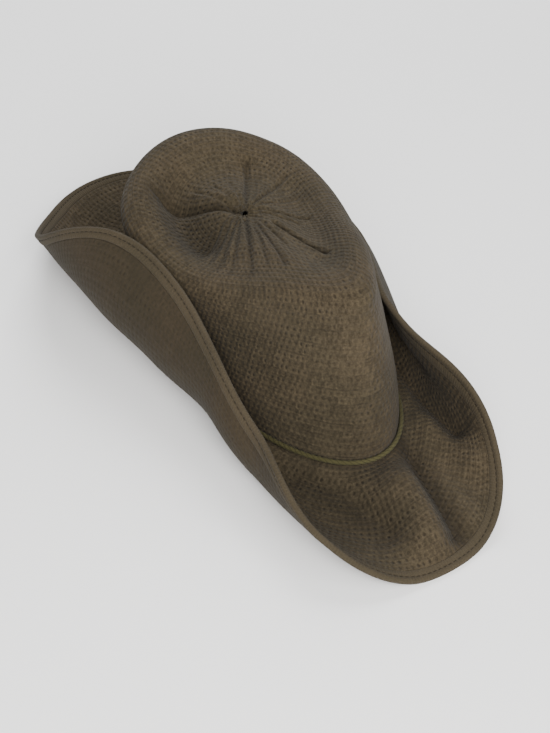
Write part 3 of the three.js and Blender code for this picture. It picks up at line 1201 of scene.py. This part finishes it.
@dataclass
class Crown:
    """The crown: an upright wall, a soft rim and a dented top drawn in to the eye."""

    offset: Vector
    foot_stand: float = 5.0
    rim_round: float = 13.0
    wall_curve: float = 1.35
    sag_shift: float = 1.15
    dent_start: float = 0.4
    wall_rows: int = 23
    top_rows: int = 22
    rings_per_row: int = 3
    places: int = 440
    stitch: float = 3.8
    waver: float = 0.55

    def outer(self, at: np.ndarray) -> np.ndarray:
        """Outer face of the crown, from the foot to the eye.

        Args:
            at: Places round the hat in degrees.

        Returns:
            Points, first round the hat and then up the crown, an even step for each ring.
        """
        foot, rim = FOOT.points(at), RIM.points(at)
        height = around([side.height for side in CROWN_SIDES], at)[:, None]
        sag = around([side.sag for side in CROWN_SIDES], at)[:, None]
        shoulder = height - self.rim_round
        foot_height = SEAM_HEIGHT + CLOTH / 2 + GAP
        eye = np.array([EYE.aside, EYE.back])
        reach = np.linalg.norm(rim - eye, axis=-1)[:, None]

        up = np.linspace(0, 1, 60)[None, :]
        share = up**self.wall_curve
        wall = np.empty((len(at), 61, 3))
        wall[:, 0, :2], wall[:, 0, 2] = foot, foot_height
        for k in range(2):
            wall[:, 1:, k] = foot[:, k, None] * (1 - share) + rim[:, k, None] * share
        wall[:, 1:, 2] = foot_height + self.foot_stand + (shoulder - foot_height - self.foot_stand) * up

        turn = np.radians(np.linspace(0, 90, 24))[None, 1:]
        inward = self.rim_round * (1 - np.cos(turn)) / reach
        bend = self.toward_eye(rim, eye, inward, shoulder + self.rim_round * np.sin(turn))

        q = np.linspace(0, 1, 160)[None, 1:]
        start = self.rim_round / reach
        along = start + (1 - EYE.radius / reach - start) * q
        top = self.toward_eye(rim, eye, along, height + (EYE.height - height) * ease(q))
        x, y = top[..., 0], top[..., 1]
        top[..., 2] -= sag * np.sin(math.pi * ease(q * self.sag_shift))
        top[..., 2] += folds_lift(CROWN_DENTS, x, y) * ease(q / self.dent_start)
        top[..., 2] -= EYE.dimple * ease((q - EYE.dimple_start) / (1 - EYE.dimple_start))
        top[..., 2] += self.gathers(x, y) * ease(q / 0.3)

        bent = bend.shape[1] // 2
        wall = np.concatenate([wall, bend[:, : bent + 1]], 1)
        top = np.concatenate([bend[:, bent:], top], 1)
        wall_marks = np.linspace(0, 1, self.wall_rows * self.rings_per_row + 1)
        top_marks = np.linspace(0, 1, self.top_rows * self.rings_per_row + 1)[1:]
        return np.concatenate([even_rows(wall, wall_marks), even_rows(top, top_marks)], 1)

    def toward_eye(self, rim: np.ndarray, eye: np.ndarray, along: np.ndarray, z: np.ndarray) -> np.ndarray:
        """Points between the rim and the eye.

        Args:
            rim: The rim's plan points, one for each place round the hat.
            eye: The eye's plan point.
            along: Shares of the way from the rim to the eye.
            z: Heights of the points.

        Returns:
            The points.
        """
        points = np.empty(np.broadcast(along, z).shape + (3,))
        for k in range(2):
            points[..., k] = rim[:, k, None] * (1 - along) + eye[k] * along
        points[..., 2] = z
        return points

    def gathers(self, x: np.ndarray, y: np.ndarray) -> np.ndarray:
        """Lift of the pleats and puckers that the gather draws in.

        Args:
            x: First plan coordinate of the points.
            y: Second plan coordinate of the points.

        Returns:
            The lift at each point, in millimetres.
        """
        pleats = [pleat.as_fold(EYE) for pleat in PLEATS]
        beside = [Fold(p.from_x, p.from_y, p.to_x, p.to_y, -0.45 * p.height, 2.2 * p.width) for p in pleats]
        lip = Fold(-5.5, 34.8, 2.9, 28.4, height=1.5, width=1.2)
        away = np.hypot(x - EYE.aside, y - EYE.back)
        turn = np.arctan2(x - EYE.aside, EYE.back - y)
        pucker = 0.5 * np.cos(13 * turn) * np.exp(-(((away - 5.0) / 4.0) ** 2))
        return folds_lift(pleats + beside + [lip], x, y) + pucker

    def build(self) -> bpy.types.Object:
        """Makes the crown's mesh.

        Returns:
            The crown, with painted shade marked in its pleat and dent valleys and its stretched places
            marked.
        """
        at = stations(self.places)
        outer = self.outer(at)
        normals = grid_normals(outer)
        wave = self.waver * gentle_waves(outer[..., 0], outer[..., 1], outer[..., 2], 70.0, seed=5)
        rings = np.arange(outer.shape[1])
        held = ease((rings - 4) / 14.0) * ease((rings[-1] - rings) / 12.0)
        outer = outer + normals * (wave * held)[..., None]
        normals = grid_normals(outer)
        inner = (outer - CLOTH * normals)[:, :: self.rings_per_row]
        inner[:, 0, 2] = outer[:, 0, 2]
        rows = KnitRows(self.stitch, self.rings_per_row)
        inner_rows = KnitRows(self.stitch, 1)
        shell = ClothShell(outer, inner, rows.coordinates(outer), inner_rows.coordinates(inner, REVERSE_ROW))
        return shell.build("crown_knit", self.offset, self.marks(outer))

    def marks(self, outer: np.ndarray) -> dict[str, np.ndarray]:
        """Where the top gets painted shade in its pleat valleys and dent crease, and where its knit is
        stretched.

        Args:
            outer: The crown's outer face.

        Returns:
            Values from 0 to 1, by what they mark.
        """
        x, y = outer[..., 0], outer[..., 1]
        on_top = ease((np.arange(outer.shape[1]) - self.wall_rows * self.rings_per_row) / 6.0)
        # Painted shade in the valleys of the pleats.
        painted_fold_shade = np.clip(-(self.gathers(x, y) + 0.3) / 1.9, 0, 1)
        # Painted shade in the crease and the left dent of the top.
        painted_crease_shade = np.clip(-CROWN_DENTS[0].lift(x, y) / 4.0 - 0.35, 0, 1)
        painted_crease_shade = np.maximum(painted_crease_shade, np.clip(-CROWN_DENTS[1].lift(x, y) / 20.0, 0, 1))
        stretched = sum(patch.share_at(x, y) for patch in STRETCHED_PATCHES)
        return {PAINTED_FOLD_SHADE: np.maximum(painted_fold_shade, painted_crease_shade) * on_top, STRETCHED: stretched * on_top}

    def dress(self, piece: bpy.types.Object, finish: bpy.types.Material) -> None:
        """Gives the crown its knit."""
        settle(piece, finish, Slot.KNIT, "crown")


@dataclass
class Brim:
    """The brim's cloth, rolled up at both sides and folded across the front."""

    offset: Vector
    rows: int = 20
    rings_per_row: int = 3
    places: int = 440
    stitch: float = 3.8
    waver: float = 0.5

    def build(self) -> bpy.types.Object:
        """Makes the brim's mesh.

        Returns:
            The brim, with painted shade marked in the valleys of its folds on the upper face.
        """
        at = stations(self.places)
        marks = np.linspace(0, 1, self.rows * self.rings_per_row + 1)[None, :]
        start = -ROLL.seam_margin
        end = (ROLL.width(at) - ROLL.hem_width)[:, None]
        middle = ROLL.middle(at, start + (end - start) * marks)
        normals = grid_normals(middle)
        wave = self.waver * gentle_waves(middle[..., 0], middle[..., 1], middle[..., 2], 60.0, seed=11)
        held = ease((marks - 0.1) / 0.2) * ease((1 - marks) / 0.15) * ease((middle[..., 2] - CLOTH) / 6)
        middle = middle + normals * (wave * held)[..., None]
        normals = grid_normals(middle)
        under = middle + normals * CLOTH / 2
        upper = middle - normals * CLOTH / 2
        under[..., 2] = np.maximum(under[..., 2], 0.0)
        rows = KnitRows(self.stitch, self.rings_per_row)
        shell = ClothShell(under, upper, rows.coordinates(under, REVERSE_ROW), rows.coordinates(upper))
        # Painted shade in the narrow valleys of the brim's folds.
        valleys = [fold for fold in BRIM_FOLDS if fold.height < 0 and fold.width < 15]
        painted_fold_shade = np.clip(-folds_lift(valleys, middle[..., 0], middle[..., 1]) / 16.0, 0, 1)
        return shell.build("brim_knit", self.offset, inner_marks={PAINTED_FOLD_SHADE: painted_fold_shade})

    def dress(self, piece: bpy.types.Object, finish: bpy.types.Material) -> None:
        """Gives the brim its knit."""
        settle(piece, finish, Slot.KNIT, "brim")


@dataclass(frozen=True)
class HemRow:
    """Thickness of the hem at a share of its width."""

    along: float
    thickness: float


@dataclass
class Hem:
    """The turned edge of the brim: two soft bands with a stitched groove between them."""

    offset: Vector
    columns: int = 22
    places: int = 440
    groove: float = 0.55
    stitch: float = 3.6
    thread_radius: float = 0.42

    def section(self) -> list[HemRow]:
        """Thickness across the hem, from the brim's cloth to the rounded edge.

        Returns:
            The hem's rows in order.
        """
        return [
            HemRow(along=0.00, thickness=2.6),
            HemRow(along=0.06, thickness=3.2),
            HemRow(along=0.25, thickness=3.7),
            HemRow(along=0.46, thickness=3.5),
            HemRow(along=0.55, thickness=2.6),
            HemRow(along=0.64, thickness=3.5),
            HemRow(along=0.80, thickness=3.8),
            HemRow(along=0.93, thickness=3.0),
            HemRow(along=0.98, thickness=1.9),
            HemRow(along=1.00, thickness=0.6),
        ]

    def grid(self, at: np.ndarray) -> tuple[np.ndarray, np.ndarray, np.ndarray]:
        """Middle of the hem, its normals and its thickness.

        Args:
            at: Places round the hat in degrees.

        Returns:
            Points, unit normals, and one thickness for each column.
        """
        share = np.linspace(0, 1, self.columns)
        rows = self.section()
        thickness = np.interp(share, [row.along for row in rows], [row.thickness for row in rows])
        width = ROLL.width(at)[:, None]
        lead = 3.0
        fine = np.concatenate([[-lead / ROLL.hem_width], share])
        middle = ROLL.middle(at, width - ROLL.hem_width + ROLL.hem_width * fine[None, :])
        return middle[:, 1:], grid_normals(middle)[:, 1:], thickness

    def build(self) -> bpy.types.Object:
        """Makes the hem's mesh.

        Returns:
            The band of the hem.
        """
        at = stations(self.places)
        middle, normals, thickness = self.grid(at)
        half = (thickness / 2)[None, :, None]
        under = middle + normals * half
        upper = middle - normals * half
        under[..., 2] = np.maximum(under[..., 2], 0.0)
        rows = KnitRows(self.stitch, self.columns - 1)
        under_knit, upper_knit = rows.coordinates(under, HEM_REVERSE_ROW), rows.coordinates(upper)
        shell = ClothShell(under, upper, under_knit, upper_knit)
        return shell.build("hem_band", self.offset)

    def build_stitches(self) -> bpy.types.Object:
        """Makes the row of yarn stitches that lies in the groove on both faces.

        Returns:
            All the stitches, as one piece.
        """
        at = stations(self.places * 4)
        middle, normals, thickness = self.grid(at)
        column = int(round(self.groove * (self.columns - 1)))
        points, faces, knit = [], [], []
        for side in (1.0, -1.0):
            line = middle[:, column] + side * normals[:, column] * (thickness[column] / 2 + 0.05)
            line[:, 2] = np.maximum(line[:, 2], 0.45)
            step = np.linalg.norm(np.roll(line, -1, 0) - line, axis=-1)
            reach = np.concatenate([[0], np.cumsum(step)])
            count = round(float(reach[-1]) / self.stitch)
            closed = np.concatenate([line, line[:1]])
            facing = np.concatenate([normals[:, column], normals[:1, column]]) * side
            pace = reach[-1] / count
            for i in range(count):
                where = (i + 0.5) * pace + np.linspace(-0.36, 0.36, 6) * pace
                path = np.stack([np.interp(where, reach, closed[:, k]) for k in range(3)], -1)
                up = np.stack([np.interp(where, reach, facing[:, k]) for k in range(3)], -1)
                along = np.gradient(path, axis=0)
                across = np.cross(along, up)
                across /= np.linalg.norm(across, axis=-1, keepdims=True)
                radius = self.thread_radius * np.sqrt(np.clip(1 - np.linspace(-0.96, 0.96, 6) ** 2, 0, 1))
                section = np.repeat(radius[:, None], 6, 1)
                mesh_points, mesh_faces = tube_mesh(path, across, up, section, False)
                faces.append(mesh_faces + len(points) * len(mesh_points))
                points.append(mesh_points)
        joined = np.concatenate(points)
        return make_mesh("hem_stitches", joined, np.concatenate(faces), None, self.offset)

    def dress(self, band: bpy.types.Object, stitches: bpy.types.Object,
              finish: bpy.types.Material, yarn: bpy.types.Material) -> None:
        """Gives the hem its close knit and its stitches their yarn."""
        settle(band, finish, Slot.HEM, "brim_hem")
        settle(stitches, yarn, Slot.HEM)


@dataclass
class Cord:
    """The twisted cord that lies on the brim round the foot of the crown."""

    offset: Vector
    radius: float = 1.5
    lift: float = 0.8
    places: int = 1100
    sides: int = 18
    strands: int = 3
    lay: float = 11.0

    def build(self) -> bpy.types.Object:
        """Makes the cord's mesh, with a valley between each pair of strands.

        Returns:
            The cord, closed round the crown.
        """
        at = stations(self.places)
        height = SEAM_HEIGHT + CLOTH / 2 + GAP + self.radius + self.lift
        plan = FOOT.points(at, GAP + self.radius)
        path = np.concatenate([plan, np.full((len(at), 1), height)], 1)
        side = np.concatenate([FOOT.outward(at), np.zeros((len(at), 1))], 1)
        up = np.tile([0.0, 0.0, 1.0], (len(at), 1))
        step = np.linalg.norm(np.roll(path, -1, 0) - path, axis=-1)
        reach = np.concatenate([[0], np.cumsum(step)])
        twists = round(float(reach[-1]) / self.lay)
        turn = np.arange(self.sides) / self.sides
        phase = turn[None, :] + (reach[:-1, None] / reach[-1]) * twists
        swell = np.abs(np.sin(math.pi * self.strands * phase))
        radius = self.radius * (0.80 + 0.22 * swell)
        points, faces = tube_mesh(path, side, up, radius, True)
        along = reach / reach[-1] * twists
        knit = np.empty((len(at), self.sides, 4, 2))
        for corner, (step_on, turned) in enumerate(((0, 0), (0, 1), (1, 1), (1, 0))):
            knit[:, :, corner, 0] = ((np.arange(self.sides) + turned) / self.sides)[None, :]
            knit[:, :, corner, 1] = along[step_on : len(at) + step_on, None]
        return make_mesh("cord_twist", points, faces, knit.reshape(-1, 2), self.offset)

    def dress(self, piece: bpy.types.Object, finish: bpy.types.Material) -> None:
        """Gives the cord its yarn."""
        settle(piece, finish, Slot.CORD, "crown_cord")


# ---- Studio ------------------------------------------------------------------------------


@dataclass(frozen=True)
class View:
    """Where the camera stands and how it is turned, in degrees and metres."""

    heading: float = -36.8
    elevation: float = 41.5
    roll: float = 6.0
    distance: float = 0.887
    lens: float = 101.6
    aim: tuple[float, float, float] = (-0.040, -0.0676, 0.058)


@dataclass(frozen=True)
class Softbox:
    """One soft square light."""

    name: str
    place: tuple[float, float, float]
    size: float
    power: float
    tint: tuple[float, float, float]


@dataclass
class Studio:
    """A pale floor, soft lights and the camera."""

    offset: Vector
    view: View = View()

    def floor(self) -> None:
        """Lays the floor."""
        mesh = bpy.data.meshes.new("floor")
        reach = 3.0
        cells = 8
        line = np.linspace(-reach, reach, cells + 1)
        points = [(x, y, 0.0) for y in line for x in line]
        across = cells + 1
        faces = [
            (j * across + i, j * across + i + 1, (j + 1) * across + i + 1, (j + 1) * across + i)
            for j in range(cells)
            for i in range(cells)
        ]
        mesh.from_pydata(points, [], faces)
        floor = bpy.data.objects.new("floor", mesh)
        bpy.context.scene.collection.objects.link(floor)
        mesh.materials.append(FloorFinish("pale floor", (0.92, 0.92, 0.92, 1)).material())

    def lights(self) -> None:
        """Sets the sky's soft glow and the softboxes."""
        world = bpy.data.worlds.new("studio")
        bpy.context.scene.world = world
        world.use_nodes = True
        glow = world.node_tree.nodes["Background"]
        glow.inputs[0].default_value = (1.0, 1.0, 1.0, 1)
        glow.inputs[1].default_value = 0.25
        boxes = [
            Softbox("key", (-0.57, -1.07, 0.93), 1.0, 46.0, (1.0, 0.99, 0.97)),
            Softbox("front", (0.41, -0.87, 1.20), 0.9, 8.0, (1.0, 0.99, 0.98)),
            Softbox("back", (0.53, 0.92, 1.11), 0.9, 24.0, (0.98, 0.99, 1.0)),
        ]
        for box in boxes:
            lamp = bpy.data.lights.new(box.name, "AREA")
            lamp.shape = "SQUARE"
            lamp.size = box.size
            lamp.energy = box.power
            lamp.color = box.tint
            light = bpy.data.objects.new(box.name, lamp)
            bpy.context.scene.collection.objects.link(light)
            place = Vector(box.place)
            aim = (Vector((0, 0, 0.05)) - place).to_track_quat("-Z", "Y")
            light.matrix_world = Matrix.Translation(place) @ aim.to_matrix().to_4x4()

    def camera(self) -> None:
        """Stands the camera."""
        view = self.view
        heading, elevation, roll = (math.radians(v) for v in (view.heading, view.elevation, view.roll))
        back = Vector((
            math.sin(heading) * math.cos(elevation),
            -math.cos(heading) * math.cos(elevation),
            math.sin(elevation),
        ))
        level = Vector((math.cos(heading), math.sin(heading), 0))
        upright = back.cross(level)
        right = math.cos(roll) * level + math.sin(roll) * upright
        up = -math.sin(roll) * level + math.cos(roll) * upright
        place = Vector(view.aim) + self.offset * MM + view.distance * back
        lens = bpy.data.cameras.new("camera")
        lens.sensor_fit = "HORIZONTAL"
        lens.sensor_width = 36.0
        lens.lens = view.lens
        lens.clip_start = 0.05
        camera = bpy.data.objects.new("camera", lens)
        bpy.context.scene.collection.objects.link(camera)
        turned = Matrix((right, up, back)).transposed().to_4x4()
        camera.matrix_world = Matrix.Translation(place) @ turned
        bpy.context.scene.camera = camera


def hat_offset() -> Vector:
    """Where the middle of the crown's foot lies in the frame, in millimetres."""
    low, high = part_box("crown_cord")
    return Vector(((low[0] + high[0]) / 2, (low[1] + high[1]) / 2, 0.0)) / MM


def main() -> None:
    """Builds the hat and the studio."""
    logging.basicConfig(level=logging.INFO, format="%(name)s: %(message)s")
    offset = hat_offset()
    LOG.info("foot offset %s", tuple(round(v, 2) for v in offset))
    groups = ClothGroups()
    # The knit's last share is the painted shade on its underside.
    knit = KnitFinish("olive knit", OLIVE, depth=0.9, under_share=0.45, underside_painted_shade=0.32).material(groups)
    close_knit = HemFinish("turned hem", OLIVE_HEM, groove=5.5, groove_width=0.9).material(groups)
    yarn = YarnFinish("moss cord", MOSS, strands=3).material(groups)
    thread = YarnFinish("hem yarn", OLIVE_HEM, strands=2).material(groups)

    crown = Crown(offset)
    crown.dress(crown.build(), knit)
    brim = Brim(offset)
    brim.dress(brim.build(), knit)
    hem = Hem(offset)
    hem.dress(hem.build(), hem.build_stitches(), close_knit, thread)
    cord = Cord(offset)
    cord.dress(cord.build(), yarn)

    studio = Studio(offset)
    studio.floor()
    studio.lights()
    studio.camera()

    bpy.context.view_layer.update()


if __name__ == "__main__":
    main()
